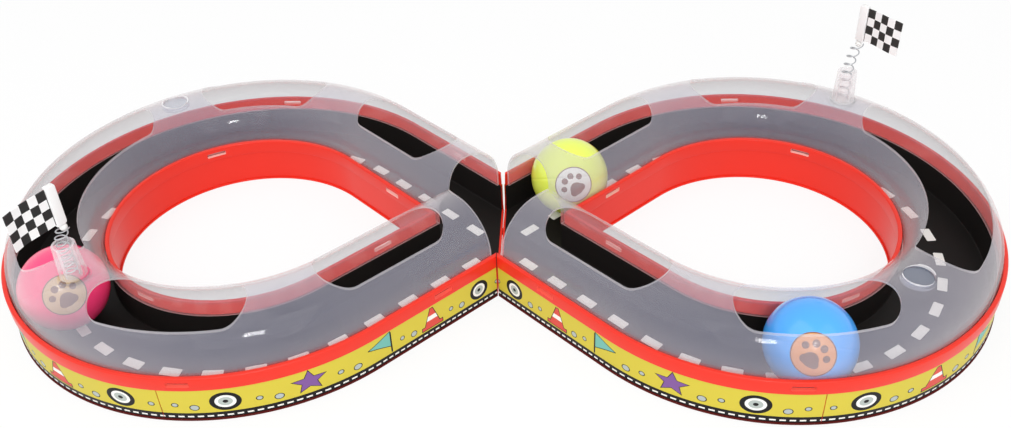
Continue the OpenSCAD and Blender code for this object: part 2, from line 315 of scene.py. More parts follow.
def put_copies(piece, places, name):
    """Copies a piece to several places, each copy with its own mesh, and joins the copies."""
    copies = []
    for place in places:
        take(piece)
        bpy.ops.object.duplicate()
        bpy.context.object.matrix_world = place
        copies.append(settle())
    bpy.data.objects.remove(piece)
    return join(name, copies)


def both_sides(corners):
    """The corners of a section's outer side, then of its inner side."""
    return corners + [(-out, up, radius) for out, up, radius in reversed(corners)]


def latch_blocks(length, across, height, centre_out, corner_r, name):
    """One block for each latch: outside and inside at the round end, and on both sides of the arms."""
    places = [(at_angle(-slot_end_angle), 1), (at_angle(-slot_hole_angle), -1),
              (slot_arm_s, 1), (slot_arm_s, -1)]
    places += [(lane_l - travel, side) for travel, side in places]
    piece = block((across, length, height), (0, 0, 0))
    edit(piece)
    pick(piece, "edges", lambda edge: abs(run(edge).x) > across / 2)
    bpy.ops.mesh.bevel(offset=corner_r, segments=3)
    leave()
    return put_copies(piece, [
        station(travel) @ Matrix.Translation((side * centre_out, 0, slot_z)) for travel, side in places
    ], name)


def fill(tree, node, inputs):
    """Sets a node's inputs to values, or links them to the outputs of other nodes."""
    for key, value in inputs.items():
        if isinstance(value, bpy.types.NodeSocket):
            tree.links.new(value, node.inputs[key])
        else:
            node.inputs[key].default_value = value


def add_node(tree, kind, inputs, **settings):
    """Adds a node to the tree of a material or the world."""
    node = tree.nodes.new(f"ShaderNode{kind}")
    for key, value in settings.items():
        setattr(node, key, value)
    fill(tree, node, inputs)
    return node


def moulded(name, colour, roughness, mottle=0.03, grain=0.02, coat=0.0, shine=0.5):
    """Moulded plastic: colour that wanders a little, a faint grain, and a gloss that isn't even."""
    finish = bpy.data.materials.new(name)
    finish.use_nodes = True
    tree = finish.node_tree
    place = add_node(tree, "TexCoord", {}).outputs["Object"]
    cloud = add_node(tree, "TexNoise", {"Vector": place, "Scale": 28, "Detail": 3}).outputs["Fac"]
    speck = add_node(tree, "TexNoise", {"Vector": place, "Scale": 1600, "Detail": 2}).outputs["Fac"]
    tint = add_node(tree, "Mix", {
        0: cloud, 6: [part * (1 - mottle) for part in colour] + [1],
        7: [min(1, part * (1 + mottle)) for part in colour] + [1]}, data_type="RGBA")
    gloss = add_node(tree, "MapRange", {
        "Value": cloud, "To Min": roughness * 0.8, "To Max": roughness * 1.25})
    bump = add_node(tree, "Bump", {"Height": speck, "Strength": grain, "Distance": 0.2 * mm})
    fill(tree, tree.nodes["Principled BSDF"], {
        "Base Color": tint.outputs[2], "Roughness": gloss.outputs["Result"],
        "Normal": bump.outputs["Normal"], "Specular IOR Level": shine,
        "Coat Weight": coat, "Coat Roughness": 0.08})
    return finish


def outside(place):
    """Whether a place lies outside the lane's centre line, where a loop shows its outer wall."""
    away, aside = abs(place.x), abs(place.y)
    if away * math.cos(arm_angle) + aside * math.sin(arm_angle) > arm_l:
        return math.hypot(away - end_x, aside) > lane_r
    return aside * math.cos(arm_angle) > away * math.sin(arm_angle)


def dress(piece, finish, body, slot, *nodes):
    """Gives a piece its finish and body, and hides the solids that it stands in for."""
    if finish:
        piece.data.materials.clear()
        piece.data.materials.append(finish)
    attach(piece, body)
    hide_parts(*nodes)


def tongues(room, low, high, name):
    """Two round-headed tongues of the left floor, or with room round them, the holes that they fill."""
    parts = []
    neck_l = tongue_l - tongue_r + lip_w
    for side in (-1, 1):
        head = rod(tongue_r + room, low, high, tongue_facets, (tongue_l - tongue_r, side * tongue_y))
        carve(head, block((neck_l, tongue_neck + 2 * room, high - low),
                          (neck_l / 2 - lip_w, side * tongue_y, (high + low) / 2)), "UNION")
        parts.append(head)
    return join(name, parts)


red_abs = moulded("red_gloss_abs", (0.76, 0.025, 0.01), 0.34, coat=0.06, shine=0.3)
# Painted light for the latch slots: pale pink where a slot's lit edge shows on the loops' inner walls, and
# a lighter red against the shade in the slots on the outer walls.
painted_lit_slot = moulded("bright_slot_red", (0.95, 0.5, 0.45), 0.4)
shaded_slot = moulded("shaded_slot_red", (0.95, 0.12, 0.08), 0.4, shine=0.3)
foot_shade = moulded("shaded_foot_red", (0.09, 0.008, 0.006), 0.6, shine=0.1)
right_base = draw_section("right_base_shell", both_sides([
    (rim_half_w, 0, 0),
    (rim_half_w, foot_h, edge_round),
    (wall_out, foot_h, 0),
    (wall_out, band_z, 0),
    (rim_half_w, band_z, edge_round),
    (rim_half_w, wall_h, rim_round),
    (wall_in, wall_h, edge_round),
    (wall_in, floor_t, 0),
]))
right_base.data.materials.append(red_abs)
sweep_half(right_base)
reflect_half(right_base)
carve(right_base, block((2 * lip_w + seam_gap, lip_y, lip_h - lip_low),
                        (0, 0, (lip_h + lip_low) / 2)), "UNION")
slots = latch_blocks(slot_l, wall_t + 2 * cut, slot_h, (wall_in + rim_half_w) / 2, slot_round, "slots")
slots.data.materials.append(painted_lit_slot)
slots.data.materials.append(shaded_slot)
# Painted light: slot faces on the outer walls take the lighter shaded red, those on the inner walls the lit
# pale pink.
for face in slots.data.polygons:
    face.material_index = 1 if outside(face.center) else 0
carve(right_base, slots)
trim(right_base, seam_gap / 2)
wedge = block((far_draft, rim_half_w * 2, wall_h * 2),
              (seam_gap / 2 - far_draft / 2, wall_in + rim_half_w, wall_h))
edit(wedge)
pick(wedge, "verts", lambda vertex: vertex.co.x > 0 and vertex.co.z > wall_h)
bpy.ops.transform.translate(value=(2 * far_draft, 0, 0))
leave()
carve(right_base, wedge)
left_base = mirror_left(right_base)
carve(left_base, tongues(0, (floor_t - tongue_t) / 2, (floor_t + tongue_t) / 2, "tongues"), "UNION")
carve(right_base, tongues(tongue_fit, -2 * cut, floor_t, "tongue_sockets"))
for side, piece in (("left", left_base), ("right", right_base)):
    tidy_faces(piece)
    piece.data.materials.append(foot_shade)
    for face in piece.data.polygons:
        if face.center.z < foot_h + doubles and face.normal.z > underside and outside(face.center):
            face.material_index = len(piece.data.materials) - 1
    dress(piece, None, "track", "base", f"{side}_base")

# Road liners. A thin black sheet moulded to a U, which lies on the floor of each red channel and
# stops below the rim band. The balls run on it.
liner_t = 1.1 * mm
liner_gap = 0.15 * mm
liner_out = wall_in - liner_gap
liner_in = liner_out - liner_t
liner_floor_z = floor_t + liner_t
liner_bend = 0.6 * mm


def dress_sides(right, finish, slot):
    """Mirrors a piece of the right loop to the left one, and dresses both as parts of the track."""
    tidy_faces(right)
    for side, piece in (("left", mirror_left(right)), ("right", right)):
        dress(piece, finish, "track", slot, f"{side}_{slot}")


road_black = moulded("road_black_sheet", (0.009, 0.0075, 0.007), 0.5, mottle=0.15, grain=0.05, shine=0.12)
right_liner = draw_section("right_road_liner", both_sides([
    (liner_out, floor_t, 0),
    (liner_out, band_z, 0),
    (liner_in, band_z, edge_round),
    (liner_in, liner_floor_z, liner_bend),
]))
sweep_half(right_liner)
reflect_half(right_liner)
trim(right_liner, seam_gap / 2 + lip_w + liner_gap)
dress_sides(right_liner, road_black, "liner")

# Lane marks. Short dashes with rounded corners along the middle of the road, all round both loops.
# They are white ink, printed thickly on the black liners.
dash_l = 9.5 * mm
dash_w = 4.6 * mm
dash_t = 0.2 * mm
dash_corner = 0.5 * mm
arm_dashes = 4
end_dashes = 22
arm_pitch = 0.2125 * arm_l
end_pitch = 0.0925 * end_sweep * lane_r
road_white = moulded("road_white_ink", (0.86, 0.85, 0.81), 0.45, mottle=0.04, grain=0.05)
select_none()
bpy.ops.mesh.primitive_plane_add(size=1)
dash = bpy.context.object
edit(dash)
resize((dash_w, dash_l, 1))
bpy.ops.transform.translate(value=(0, 0, liner_floor_z))
bpy.ops.mesh.bevel(affect="VERTICES", offset=dash_corner, segments=3)
select_whole()
extrude((0, 0, dash_t))
leave()
travels = [(step + 1) * arm_pitch for step in range(arm_dashes)]
travels += [lane_l - travel for travel in travels]
travels += [lane_l / 2 + end_pitch * (step - (end_dashes - 1) / 2) for step in range(end_dashes)]
right_dashes = put_copies(dash, [station(travel) for travel in travels], "right_lane_marks")
dress_sides(right_dashes, road_white, "lane_dashes")

# Labels. Three strips of printed film glued round each red wall, between the foot line and the band,
# with open seams between them. Toy-shop motifs stand in a row over a black road stripe.
label_t = 0.25 * mm
glue_t = 0.1 * mm
label_edge = 0.25 * mm
label_seam = 0.3 * mm
label_seam_angle = 84.8
label_low = foot_h + label_edge
label_high = band_z - label_edge
label_step = 2 * mm
lane_arm_steps = 40


def lane_curve():
    """The lane's centre line: out along the near arm from the crossing, round the end and back."""
    step = Vector((math.cos(arm_angle), -math.sin(arm_angle), 0)) * arm_l / lane_arm_steps
    one_point("lane_line")
    for count in range(lane_arm_steps):
        extrude(step)
    bpy.ops.mesh.spin(steps=4 * end_steps, angle=-2 * end_sweep, center=(end_x, 0, 0), axis=(0, 0, 1))
    step.x = -step.x
    for count in range(lane_arm_steps):
        extrude(step)
    leave()
    bpy.ops.object.convert(target="CURVE")
    return bpy.context.object


lane = lane_curve()


def follow_lane(piece):
    """Bends a piece that is drawn straight, by distance travelled from the crossing, round the loop."""
    apply_modifier(piece, "follow lane", "CURVE", object=lane, deform_axis="POS_X")


def label_strip(name, start, stop):
    """A film strip drawn flat with its print's millimetres as its map, then bent along the wall."""
    length = stop - start
    height = label_high - label_low
    select_none()
    bpy.ops.mesh.primitive_grid_add(x_subdivisions=round(length / label_step), y_subdivisions=2, size=1)
    strip = name_piece(bpy.context.object, name)
    edit(strip)
    resize((length, height, 1))
    leave()
    print_map = strip.data.uv_layers[0]
    print_map.name = "print_map"
    for corner in print_map.data:
        corner.uv = (corner.uv[0] * length / mm, corner.uv[1] * height / mm)
    strip.rotation_euler = (math.pi / 2, 0, 0)
    strip.location = ((start + stop) / 2, -wall_out - glue_t, (label_low + label_high) / 2)
    settle()
    apply_modifier(strip, "film", "SOLIDIFY", thickness=label_t, offset=1)
    follow_lane(strip)
    return strip


class Print:
    """Builds a print's colours from shapes over a ground, in one material's node tree."""

    def __init__(self, finish, ground):
        self.tree = finish.node_tree
        self.shader = self.tree.nodes["Principled BSDF"]
        self.colour = ground

    def sum(self, operation, *values):
        """One Math node."""
        return add_node(self.tree, "Math", dict(enumerate(values)), operation=operation).outputs[0]

    def vector(self, operation, first, second):
        """The outputs of one Vector Math node."""
        return add_node(self.tree, "VectorMath", {0: first, 1: second}, operation=operation).outputs

    def disc(self, place, centre, radius):
        """A round spot."""
        reach = self.vector("DISTANCE", place, (*centre, 0))["Value"]
        return self.sum("LESS_THAN", reach, radius)

    def bar(self, x, y, centre, half_w, half_h):
        """An upright bar, or a tapering one where its half width is a node's output."""
        across = self.sum("COMPARE", x, centre[0], half_w)
        return self.sum("MULTIPLY", across, self.sum("COMPARE", y, centre[1], half_h))

    def paint(self, mask, colour):
        """Prints one colour over what is there."""
        layers = {0: mask, 6: self.colour, 7: (*colour, 1)}
        self.colour = add_node(self.tree, "Mix", layers, data_type="RGBA").outputs[2]

    def put_on(self):
        """Gives the print to the material."""
        fill(self.tree, self.shader, {"Base Color": self.colour})


def label_film():
    """The labels' print: on yellow, a wheel, a cone, a pennant or a star in each cell of a row, with two
    puffs beside it, over the road. Its numbers are millimetres of print."""
    cell_w = 28
    cell_reach = 0.4
    motif_scale = 1.15
    motif_y = 9.2
    row_y = 10
    outline = 0.35
    puff_edge = 0.3
    star_r = 5.2
    star_notch = 0.45
    star_outline = 1.12
    star_fold = math.pi / 5
    road_h = 3.3
    road_dash_y = 1.2
    road_dash_half_h = 0.42
    road_dash_half_w = 1.05
    road_dash_half_pitch = 1.65
    yellow = (0.61, 0.51, 0.05)
    ink = (0.006, 0.005, 0.006)
    white = (0.85, 0.85, 0.82)
    grey = (0.42, 0.47, 0.45)
    red = (0.66, 0.07, 0.05)
    teal = (0.16, 0.46, 0.4)
    purple = (0.2, 0.09, 0.3)
    wheel, cone, pennant, star = kinds = range(4)
    finish = moulded("printed_film", yellow, 0.4, grain=0.01, shine=0.2)
    sheet = Print(finish, (*yellow, 1))
    where = add_node(sheet.tree, "UVMap", {}, uv_map="print_map")
    split = add_node(sheet.tree, "SeparateXYZ", {0: where.outputs[0]})
    along, up = split.outputs[0], split.outputs[1]
    cell = sheet.sum("FLOOR", sheet.sum("DIVIDE", along, cell_w))
    kind = sheet.sum("MODULO", cell, len(kinds))
    x = sheet.sum("SUBTRACT", sheet.sum("SUBTRACT", along, sheet.sum("MULTIPLY", cell, cell_w)), cell_w / 2)
    x = sheet.sum("DIVIDE", x, motif_scale)
    y = sheet.sum("MULTIPLY_ADD", up, 1 / motif_scale, motif_y - row_y / motif_scale)
    place = add_node(sheet.tree, "CombineXYZ", {0: x, 1: y}).outputs[0]

    def paint_motif(number, mask, colour):
        """Prints a shape in the cells of one kind."""
        here = sheet.sum("COMPARE", kind, number, cell_reach)
        sheet.paint(sheet.sum("MULTIPLY", mask, here), colour)

    for centre, radius in (((9.2, 6.2), 1.5), ((-9.6, 7.6), 1.1)):
        sheet.paint(sheet.disc(place, centre, radius), ink)
        sheet.paint(sheet.disc(place, centre, radius - puff_edge), grey)
    for radius, colour in ((4.6, ink), (3.1, white), (2.1, grey), (0.8, ink)):
        paint_motif(wheel, sheet.disc(place, (0, 8.6), radius), colour)
    for edge, colour in ((outline, ink), (0, red)):
        taper = sheet.sum("MULTIPLY_ADD", y, -0.36, 5.6 + edge)
        paint_motif(cone, sheet.bar(x, y, (0, 9.3), taper, 4.6 + edge), colour)
        paint_motif(cone, sheet.bar(x, y, (0, 4.9), 5 + edge, 0.7 + edge), colour)
    paint_motif(cone, sheet.bar(x, y, (0, motif_y), taper, 1.1), white)
    for edge, colour in ((outline, ink), (0, teal)):
        taper = sheet.sum("MULTIPLY_ADD", x, -0.4, 2 + edge)
        paint_motif(pennant, sheet.bar(y, x, (10.8, 0.5), taper, 4.5 + edge), colour)
    paint_motif(pennant, sheet.bar(x, y, (-4.3, 9), outline, 5.2), ink)
    reach = sheet.vector("DISTANCE", place, (0, motif_y, 0))["Value"]
    turn = sheet.sum("ARCTAN2", x, sheet.sum("SUBTRACT", y, motif_y))
    fold = sheet.sum("PINGPONG", turn, star_fold)
    notch = Vector((math.cos(star_fold), math.sin(star_fold))) * star_notch * star_r
    side = Vector((notch.y, star_r - notch.x))
    lean = sheet.sum("ADD", sheet.sum("MULTIPLY", sheet.sum("COSINE", fold), side.x),
                     sheet.sum("MULTIPLY", sheet.sum("SINE", fold), side.y))
    depth = sheet.sum("MULTIPLY", reach, lean)
    for grow, colour in ((star_outline, ink), (1, purple)):
        paint_motif(star, sheet.sum("LESS_THAN", depth, side.x * star_r * grow), colour)
    sheet.paint(sheet.sum("LESS_THAN", up, road_h), ink)
    dash = sheet.sum("LESS_THAN", sheet.sum("PINGPONG", along, road_dash_half_pitch), road_dash_half_w)
    dash = sheet.sum("MULTIPLY", dash, sheet.sum("COMPARE", up, road_dash_y, road_dash_half_h))
    sheet.paint(dash, white)
    sheet.put_on()
    return finish


label_start = wall_out * math.tan(arm_angle) - 2 * mm
seam_travel = at_angle(-label_seam_angle)
printed_film = label_film()
for part, start, stop in (("near", label_start, seam_travel - label_seam),
                          ("end", seam_travel, lane_l - seam_travel),
                          ("far", lane_l - seam_travel + label_seam, lane_l - label_start)):
    right_label = label_strip(f"right_label_{part}_film", start, stop)
    if part != "end":
        trim(right_label, seam_gap / 2 + label_edge)
    dress_sides(right_label, printed_film, f"label_{part}")

# Covers. Half-round arches moulded in thin milky clear plastic, whose skirts snap inside the red
# rims. Windows for a paw are cut along them, and two sockets in each take the flag cups.
cover_t = 1.1 * mm
cover_gap = 0.35 * mm
skirt_out = wall_in - cover_gap
arch_top_z = wall_h + skirt_out
arch_facets = 96
ring_facets = 192
window_half_w = 14 * mm
window_round_r = 15.5 * mm
window_corner_r = 8 * mm
window_foot_z = wall_h + rim_h
window_step = 2 * mm
window_rows = 24
end_window_angle = 44.3
side_window_angles = (63.5, 107.5)
arm_window_s = (38.5 * mm, 103.6 * mm)
mouth_s = rim_half_w
mouth_facets = 144
mouth_h = 2 * wall_h
socket_angle = 53.8
socket_facets = 72
socket_bore_r = 6.58 * mm
socket_r = socket_bore_r + 0.75 * mm
socket_rim_r = socket_bore_r + 0.5 * mm
socket_low = arch_top_z - 3.4 * mm
socket_floor_z = socket_low + 1 * mm
socket_edge_z = arch_top_z - 1.4 * mm
socket_rim_z = arch_top_z - 0.45 * mm
bead_l = slot_l - 2 * cover_gap
bead_h = slot_h - 2 * cover_gap
bead_proud = 0.2 * mm


def clear_plastic(name, colour, rim_colour, alpha, rim_alpha, roughness):
    """Clear plastic as a thin shell. Each face lets light through, less of it at a glance, where it
    looks milkier too. Light gets through it more than the eye sees, as it does in real plastic. The
    moulding is faintly wavy."""
    shade_share = 0.25
    finish = moulded(name, colour, roughness, mottle=0.06, grain=0, coat=0.4)
    tree = finish.node_tree
    shader = tree.nodes["Principled BSDF"]
    plain, grain = (shader.inputs[key].links[0].from_socket for key in ("Base Color", "Normal"))
    glance = add_node(tree, "LayerWeight", {"Blend": 0.35}).outputs["Facing"]
    milk = add_node(tree, "Mix", {0: glance, 6: plain, 7: (*rim_colour, 1)}, data_type="RGBA")
    cover = add_node(tree, "MapRange", {"Value": glance, "To Min": alpha, "To Max": rim_alpha})
    seen = add_node(tree, "LightPath", {}).outputs["Is Camera Ray"]
    lit = add_node(tree, "MapRange", {"Value": seen, "To Min": shade_share, "To Max": 1})
    dim = add_node(tree, "Math", {0: cover.outputs["Result"], 1: lit.outputs["Result"]},
                   operation="MULTIPLY")
    place = add_node(tree, "TexCoord", {}).outputs["Object"]
    swell = add_node(tree, "TexNoise", {"Vector": place, "Scale": 70, "Detail": 1}).outputs["Fac"]
    wavy = add_node(tree, "Bump", {
        "Height": swell, "Normal": grain, "Strength": 0.12, "Distance": 1 * mm})
    fill(tree, shader, {
        "Base Color": milk.outputs[2], "Alpha": dim.outputs[0], "Normal": wavy.outputs["Normal"]})
    return finish


def posts(radius, low, high, finish):
    """Two upright round tools, one at each socket of the right cover."""
    parts = []
    for side in (-1, 1):
        post = rod(radius, (low - high) / 2, (high - low) / 2, socket_facets)
        post.matrix_world = station(at_angle(side * socket_angle)) @ Matrix.Translation(
            (0, 0, (high + low) / 2))
        settle()
        post.data.materials.append(finish)
        parts.append(post)
    return join("posts", parts)


def window_tool(start, stop):
    """A window's outline, drawn flat as a strip with round ends, raised and bent along the lane."""
    length = stop - start
    inner_r = window_round_r - window_corner_r
    inner_y = window_half_w - window_corner_r
    corner_x = math.sqrt(inner_r ** 2 - inner_y ** 2)
    select_none()
    bpy.ops.mesh.primitive_grid_add(x_subdivisions=round(length / window_step), y_subdivisions=window_rows,
                                    size=1)
    tool = bpy.context.object
    edit(tool)
    resize((length, 2 * window_half_w, 1))
    leave()
    for vertex in tool.data.vertices:
        vertex.co.y = window_half_w * math.sin(math.pi / 2 * vertex.co.y / window_half_w)
        off = abs(vertex.co.y)
        reach = math.sqrt(window_round_r ** 2 - off ** 2)
        if off > inner_y * window_round_r / inner_r:
            reach = corner_x + math.sqrt(max(0, window_corner_r ** 2 - (off - inner_y) ** 2))
        vertex.co.x *= 1 - 2 * (window_round_r - reach) / length
    edit(tool)
    select_whole()
    bpy.ops.transform.translate(value=((start + stop) / 2, 0, window_foot_z))
    extrude((0, 0, arch_top_z))
    leave()
    turn_outwards(tool)
    follow_lane(tool)
    return tool


milky_clear = clear_plastic("milky_clear_plastic", (0.36, 0.355, 0.45), (1, 0.92, 0.91), 0.2, 0.4, 0.08)
# The skirt is tinted red: painted red light standing in for the lit red wall behind it.
skirt_painted_red_light = clear_plastic("milky_skirt_plastic", (0.95, 0.24, 0.24), (1, 0.5, 0.5), 0.25, 0.5, 0.1)
clear_floor = clear_plastic("clear_socket_floor", (0.2, 0.21, 0.27), (0.5, 0.5, 0.55), 0.03, 0.08, 0.08)
milky_floor = clear_plastic("milky_socket_floor", (0.36, 0.4, 0.52), (0.6, 0.62, 0.7), 0.2, 0.4, 0.08)
# The empty socket's rim is painted white: a painted highlight round it.
rim_painted_highlight = clear_plastic("white_socket_rim", (0.9, 0.88, 0.9), (0.95, 0.94, 0.95), 0.65, 0.9, 0.3)
# The cut edges of the clear plastic are painted lighter and more opaque: a painted highlight where light
# catches them.
edge_painted_highlight = clear_plastic("bright_cut_edge", (0.8, 0.78, 0.8), (0.95, 0.92, 0.92), 0.22, 0.75, 0.3)
bead_white = clear_plastic("white_snap_bead", (0.8, 0.45, 0.43), (0.95, 0.7, 0.7), 0.5, 0.8, 0.3)
select_none()
bpy.ops.mesh.primitive_circle_add(vertices=arch_facets, radius=skirt_out, rotation=(math.pi / 2, 0, 0),
                                  location=(end_x + lane_r, 0, wall_h))
right_cover = name_piece(settle(), "right_clear_cover")
right_cover.data.materials.append(milky_clear)
edit(right_cover)
pick(right_cover, "verts", lambda vertex: vertex.co.z < wall_h - doubles)
bpy.ops.mesh.delete(type="VERT")
pick(right_cover, "verts", lambda vertex: vertex.co.z < wall_h + doubles)
extrude((0, 0, band_z - wall_h))
sweep_half(right_cover)
reflect_half(right_cover)
trim(right_cover, seam_gap / 2, close=False)
if max(right_cover.data.polygons, key=lambda face: face.center.z).normal.z < 0:
    edit(right_cover)
    select_whole()
    bpy.ops.mesh.flip_normals()
    leave()
apply_modifier(right_cover, "wall", "SOLIDIFY", thickness=cover_t, offset=-1, use_even_offset=True)
beads = latch_blocks(bead_l, cover_t / 2 + bead_proud, bead_h, skirt_out + bead_proud / 2 - cover_t / 4,
                     bead_proud / 2, "snap_beads")
beads.data.materials.append(bead_white)
carve(right_cover, beads, "UNION")
select_none()
bpy.ops.mesh.primitive_torus_add(major_segments=ring_facets, minor_segments=arch_facets,
                                 major_radius=lane_r, minor_radius=skirt_out - cover_t / 2,
                                 location=(end_x, 0, wall_h))
arch_middle = settle()
arch_middle.data.materials.append(clear_floor)
wells = posts(socket_r, socket_low, arch_top_z + cut, clear_floor)
carve(wells, arch_middle, "INTERSECT")
carve(right_cover, wells, "UNION")
bores = posts(socket_bore_r, socket_floor_z, arch_top_z + cut, clear_floor)
bores.data.materials.append(edge_painted_highlight)
edit(bores)
select_whole()
bpy.ops.mesh.bisect(plane_co=(0, 0, socket_edge_z), plane_no=(0, 0, 1), threshold=doubles)
leave()
for face in bores.data.polygons:
    face.material_index = 1 if face.center.z > socket_edge_z else 0
round_mouth = rod(mouth_s, -mouth_h, mouth_h, mouth_facets)
round_mouth.data.materials.append(edge_painted_highlight)
square_mouth = rod(mouth_s / math.sin(arm_angle), -mouth_h, mouth_h, 6)
for vertex in square_mouth.data.vertices:
    if abs(vertex.co.x) > doubles:
        vertex.co.x = math.copysign(mouth_s * math.cos(arm_angle), vertex.co.x)
        vertex.co.y = math.copysign(mouth_s * math.sin(arm_angle), vertex.co.y)
square_mouth.data.materials.append(edge_painted_highlight)
windows = [window_tool(at_angle(-end_window_angle), at_angle(end_window_angle))]
for start, stop in ((at_angle(-side_window_angles[1]), at_angle(-side_window_angles[0])), arm_window_s):
    windows.append(window_tool(start, stop))
    windows.append(window_tool(lane_l - stop, lane_l - start))
bpy.data.objects.remove(lane)
windows = join("windows", windows)
windows.data.materials.append(edge_painted_highlight)
for tool in (bores, posts(socket_rim_r, socket_rim_z, arch_top_z + cut, edge_painted_highlight),
             round_mouth, square_mouth, windows):
    carve(right_cover, tool)
for finish in (skirt_painted_red_light, milky_floor, rim_painted_highlight):
    right_cover.data.materials.append(finish)
numbers = {finish.name: number for number, finish in enumerate(right_cover.data.materials)}
arch, skirt, edge, clear, milky, white = (numbers[finish.name] for finish in (
    milky_clear, skirt_painted_red_light, edge_painted_highlight, clear_floor, milky_floor, rim_painted_highlight))
# The skirt's lower edge takes the painted highlight of the cut edges, and the rest of the skirt its painted
# red light.
for face in right_cover.data.polygons:
    if face.center.z < band_z + doubles:
        face.material_index = edge
    elif face.center.z < wall_h - doubles and face.material_index == arch:
        face.material_index = skirt
tidy_faces(right_cover, 35)
left_cover = mirror_left(right_cover)
# A cup fills the far socket of the right cover and the near one of the left, and there plastic lies
# on plastic and shows clear. The other socket of each is empty, with a painted highlight on its rim and a
# milky floor.
for side, changes in ((1, {edge: clear}), (-1, {edge: white, clear: milky})):
    socket = station(at_angle(side * socket_angle)).translation.xy
    for piece, turn in ((right_cover, 1), (left_cover, -1)):
        for face in piece.data.polygons:
            if (face.center.xy * turn - socket).length < socket_r + cut:
                face.material_index = changes.get(face.material_index, face.material_index)
dress(right_cover, None, "right_cover", "cover", "right_cover")
dress(left_cover, None, "left_cover", "cover", "left_cover")

# Flag cups. The spigot of a clear round cup fills one socket in each cover. Above its shoulder the
# cup narrows towards a rounded lip, and the flag's spring stands in it.
cup_r = 6.5 * mm
cup_foot_r = 5.9 * mm
cup_top_r = 5 * mm
cup_top_z = socket_floor_z + 18.5 * mm
cup_wall = 1.2 * mm
cup_floor_z = socket_floor_z + 1.4 * mm
cup_facets = 64
lip_round = 0.45 * mm
narrowing = cup_top_r / cup_foot_r
far_foot = station(at_angle(socket_angle)).translation
flag_feet = {"left": Vector((-far_foot.x, -far_foot.y, 0)), "right": far_foot}


def stand_pair(piece, places, name, finish, body, slot, turns=None):
    """Stands a copy of a piece drawn at the origin on each side, and clears the first away. Each copy
    has its own mesh, and may be turned about its own upright."""
    for side, place in places.items():
        take(piece)
        bpy.ops.object.duplicate()
        copy = name_piece(bpy.context.object, f"{side}_{name}")
        copy.rotation_euler = (0, 0, math.radians(turns[side] if turns else 0))
        copy.location = place
        settle()
        tidy_faces(copy, 40)
        dress(copy, finish, f"{side}_{body}", slot, f"{side}_{slot}")
    bpy.data.objects.remove(piece)


# The cups' milky white is tinted pink: painted pink light from the pink ball.
clear_cup = clear_plastic("clear_cup_plastic", (0.88, 0.82, 0.85), (0.97, 0.93, 0.94), 0.19, 0.55, 0.12)
clear_spigot = clear_plastic("clear_spigot_plastic", (0.5, 0.46, 0.5), (0.6, 0.57, 0.6), 0.02, 0.12, 0.12)
cup = rod(cup_r, socket_floor_z, socket_rim_z, cup_facets)
edit(cup)
pick(cup, "faces", lambda face: face.calc_center_median().z > socket_rim_z - doubles)
bpy.ops.mesh.inset(thickness=cup_r - cup_foot_r)
extrude((0, 0, cup_top_z - socket_rim_z))
resize((narrowing, narrowing, 1))
bpy.ops.mesh.inset(thickness=cup_wall)
extrude((0, 0, cup_floor_z - cup_top_z))
pick(cup, "edges", lambda edge: min(vertex.co.z for vertex in edge.verts) > cup_top_z - doubles)
bpy.ops.mesh.bevel(offset=lip_round, segments=4)
pick(cup, "edges", lambda edge: max(abs(vertex.co.z - socket_rim_z) for vertex in edge.verts) < doubles
     and min(vertex.co.xy.length for vertex in edge.verts) > (cup_r + cup_foot_r) / 2)
bpy.ops.mesh.bevel(offset=edge_round, segments=3)
pick(cup, "edges", lambda edge: max(vertex.co.z for vertex in edge.verts) < socket_floor_z + doubles)
bpy.ops.mesh.bevel(offset=edge_round, segments=3)
leave()
cup.data.materials.append(clear_cup)
cup.data.materials.append(clear_spigot)
for face in cup.data.polygons:
    face.material_index = 1 if face.center.z < socket_rim_z + edge_round else 0
stand_pair(cup, flag_feet, "flag_cup_shell", None, "cover", "flag_cup")

# Springs. Each is one length of bright steel wire wound in seven open curls, standing in its cup. It
# leans to the right above the cup, more and more towards the flag.
wire_r = 0.32 * mm
wire_facets = 10
coil_r = 2.6 * mm
curls = 7
curl_steps = 24
spring_ends = 0.04 * mm
pivots = {side: Vector(joint_place(f"{side}_flag_sway")) for side in flag_feet}
spring_steel = moulded("bright_steel_wire", (0.46, 0.47, 0.49), 0.3, mottle=0.06, grain=0.05)
spring_steel.node_tree.nodes["Principled BSDF"].inputs["Metallic"].default_value = 0.85
for side, pivot in pivots.items():
    low = cup_floor_z + wire_r + spring_ends
    high = pivot.z - wire_r - spring_ends
    lean = pivot.x - flag_feet[side].x
    select_none()
    bpy.ops.mesh.primitive_circle_add(vertices=wire_facets, radius=wire_r, location=(coil_r, 0, low),
                                      rotation=(math.pi / 2, 0, 0))
    spring = name_piece(settle(), f"{side}_flag_coil")
    apply_modifier(spring, "curls", "SCREW", axis="Z", angle=2 * math.pi, iterations=curls,
                   screw_offset=(high - low) / curls, steps=curl_steps, render_steps=curl_steps,
                   use_merge_vertices=False)
    edit(spring)
    pick(spring, "edges", lambda edge: edge.is_boundary)
    bpy.ops.mesh.edge_face_add()
    leave()
    for vertex in spring.data.vertices:
        vertex.co.x += lean * max(0, (vertex.co.z - cup_top_z) / (pivot.z - cup_top_z)) ** 2
    spring.location = flag_feet[side]
    settle()
    tidy_faces(spring, 60)
    dress(spring, spring_steel, f"{side}_cover", "flag_spring", f"{side}_flag_spring")

